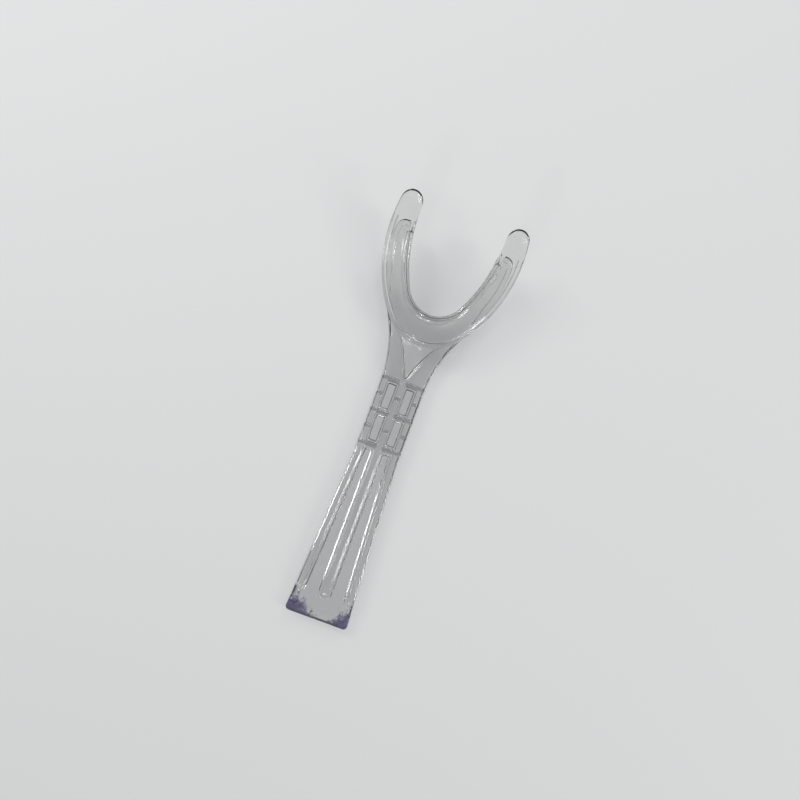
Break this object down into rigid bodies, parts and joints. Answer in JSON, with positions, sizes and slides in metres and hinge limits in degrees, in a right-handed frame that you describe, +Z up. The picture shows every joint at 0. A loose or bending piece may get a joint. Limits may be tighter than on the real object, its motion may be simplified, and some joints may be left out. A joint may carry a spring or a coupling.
{
  "type": "cheek retractor",
  "caption": "Y-shaped dental cheek retractor in clear plastic: tapered ribbed handle with a finger grip, forked neck and U-shaped double-flanged lip channel.",
  "frame": {"origin": "centre of the bounding box's footprint, on the plane that the underside of the handle rests on", "axes": "+Y along the handle from the square end to the prongs, +Z up with the longer tooth-side flange on top, +X across; the part is symmetric about x = 0"},
  "size_m": [0.0508, 0.16, 0.027],
  "materials": {
    "clear_polycarbonate": "polished clear polycarbonate, light grey where it is thick"
  },
  "bodies": {
    "root": {"channel_wall": "clear_polycarbonate", "end_pad": "clear_polycarbonate", "grip_long_ridges": "clear_polycarbonate", "grip_short_ridges": "clear_polycarbonate", "handle_web": "clear_polycarbonate", "left_rail": "clear_polycarbonate", "lower_centre_rib": "clear_polycarbonate", "lower_grip_bars": "clear_polycarbonate", "neck_left_arm": "clear_polycarbonate", "neck_right_arm": "clear_polycarbonate", "neck_web": "clear_polycarbonate", "right_rail": "clear_polycarbonate", "skin_flange": "clear_polycarbonate", "tooth_flange": "clear_polycarbonate", "upper_centre_rib": "clear_polycarbonate", "upper_grip_bars": "clear_polycarbonate"}
  },
  "joints": []
}
